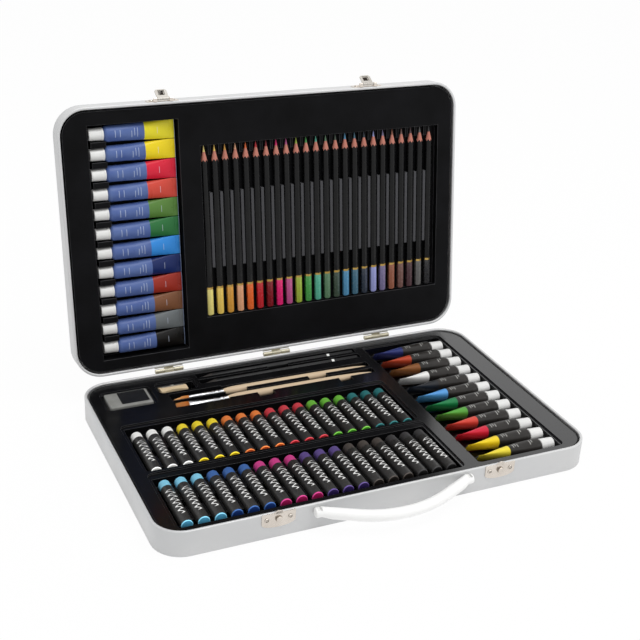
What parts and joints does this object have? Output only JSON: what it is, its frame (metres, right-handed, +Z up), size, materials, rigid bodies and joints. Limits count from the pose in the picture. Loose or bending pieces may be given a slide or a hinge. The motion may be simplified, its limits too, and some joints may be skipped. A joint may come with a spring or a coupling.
{
  "type": "metal art case",
  "caption": "Hinged metal art case with two latches and a bow handle; trays in lid and base hold paint tubes, pencils, pastels, brushes, an eraser and a sharpener.",
  "frame": {"origin": "centre of the flat underside of the base, on the surface it rests on", "axes": "+X along the hinge line to the right, -Y to the front where the handle and latches are, +Z up"},
  "size_m": [0.434, 0.3662, 0.3091],
  "materials": {
    "case_paint": "satin silver-grey paint on pressed steel",
    "tray_plastic": "formed black plastic with a soft gloss",
    "hinge_metal": "plated steel, slightly warm",
    "latch_metal": "bright nickel plating",
    "handle_plastic": "pale grey moulded plastic",
    "pastel_wax": "soft pastel sticks in three of each colour",
    "wrap_paper": "dark grey paper wrap",
    "tube_laminate": "painted tube skin with a colour band",
    "cap_plastic": "white moulded plastic",
    "pencil_paint": "black lacquered wood with a coloured dipped end",
    "pencil_core": "coloured pencil core",
    "sketch_paint": "matt dark lacquer",
    "sketch_core": "dark graphite core",
    "eraser_rubber": "warm grey rubber with a bare dark panel",
    "sharpener_wood": "pale bare wood",
    "blade_steel": "ground steel",
    "brush_wood": "pale varnished wood",
    "ferrule_metal": "polished aluminium",
    "bristle_hair": "amber brown bristle"
  },
  "bodies": {
    "base": {"base_shell": "case_paint", "base_tray": "tray_plastic", "base_hinge_leaves": "hinge_metal", "hinge_pins": "hinge_metal", "keeper_plates": "latch_metal", "handle_posts": "latch_metal", "handle_pins": "latch_metal"},
    "lid": {"lid_shell": "case_paint", "lid_tray": "tray_plastic", "lid_hinge_leaves": "hinge_metal", "latch_plates": "latch_metal", "latch_pins": "latch_metal"},
    "left_hasp": {"left_hasp": "latch_metal"},
    "right_hasp": {"right_hasp": "latch_metal"},
    "handle": {"handle": "handle_plastic"},
    "back_pastels": {"back_pastel_sticks": "pastel_wax", "back_pastel_wraps": "wrap_paper"},
    "front_pastels": {"front_pastel_sticks": "pastel_wax", "front_pastel_wraps": "wrap_paper"},
    "base_tubes": {"base_tube_bodies": "tube_laminate", "base_tube_caps": "cap_plastic"},
    "lid_tubes": {"lid_tube_bodies": "tube_laminate", "lid_tube_caps": "cap_plastic"},
    "lid_pencils": {"lid_pencil_casings": "pencil_paint", "lid_pencil_leads": "pencil_core"},
    "rear_pencil": {"rear_pencil_casing": "sketch_paint", "rear_pencil_lead": "sketch_core"},
    "front_pencil": {"front_pencil_casing": "sketch_paint", "front_pencil_lead": "sketch_core"},
    "eraser": {"eraser": "eraser_rubber"},
    "sharpener": {"sharpener_body": "sharpener_wood", "sharpener_blade": "blade_steel", "sharpener_screw": "blade_steel"},
    "round_brush": {"round_brush_handle": "brush_wood", "round_brush_ferrule": "ferrule_metal", "round_brush_bristles": "bristle_hair"},
    "flat_brush": {"flat_brush_handle": "brush_wood", "flat_brush_ferrule": "ferrule_metal", "flat_brush_bristles": "bristle_hair"}
  },
  "joints": [
    {"name": "lid_hinge", "type": "hinge", "parent": "base", "child": "lid", "pos_m": [0, 0.1399, 0.02635], "axis": [1, 0, 0], "range_deg": [0, 98]},
    {"name": "left_hasp_hinge", "type": "hinge", "parent": "lid", "child": "left_hasp", "pos_m": [-0.111, 0.18008, 0.30255], "axis": [1, 0, 0], "range_deg": [-30, 142]},
    {"name": "right_hasp_hinge", "type": "hinge", "parent": "lid", "child": "right_hasp", "pos_m": [0.111, 0.18008, 0.30255], "axis": [1, 0, 0], "range_deg": [-30, 142]},
    {"name": "handle_hinge", "type": "hinge", "parent": "base", "child": "handle", "pos_m": [0, -0.1411, 0.0202], "axis": [1, 0, 0], "range_deg": [-92, 30]},
    {"name": "back_pastels_lift", "type": "slide", "parent": "base", "child": "back_pastels", "axis": [0, 0, -1], "range_m": [-0.02, 0]},
    {"name": "front_pastels_lift", "type": "slide", "parent": "base", "child": "front_pastels", "axis": [0, 0, -1], "range_m": [-0.02, 0]},
    {"name": "base_tubes_lift", "type": "slide", "parent": "base", "child": "base_tubes", "axis": [0, 0, -1], "range_m": [-0.02, 0]},
    {"name": "rear_pencil_lift", "type": "slide", "parent": "base", "child": "rear_pencil", "axis": [0, 0, -1], "range_m": [-0.02, 0]},
    {"name": "front_pencil_lift", "type": "slide", "parent": "base", "child": "front_pencil", "axis": [0, 0, -1], "range_m": [-0.02, 0]},
    {"name": "eraser_lift", "type": "slide", "parent": "base", "child": "eraser", "axis": [0, 0, -1], "range_m": [-0.02, 0]},
    {"name": "sharpener_lift", "type": "slide", "parent": "base", "child": "sharpener", "axis": [0, 0, -1], "range_m": [-0.02, 0]},
    {"name": "round_brush_lift", "type": "slide", "parent": "base", "child": "round_brush", "axis": [0, 0, -1], "range_m": [-0.02, 0]},
    {"name": "flat_brush_lift", "type": "slide", "parent": "base", "child": "flat_brush", "axis": [0, 0, -1], "range_m": [-0.02, 0]},
    {"name": "lid_tubes_lift", "type": "slide", "parent": "lid", "child": "lid_tubes", "axis": [0, 0.9903, -0.1392], "range_m": [-0.02, 0]},
    {"name": "lid_pencils_lift", "type": "slide", "parent": "lid", "child": "lid_pencils", "axis": [0, 0.9903, -0.1392], "range_m": [-0.02, 0]}
  ]
}
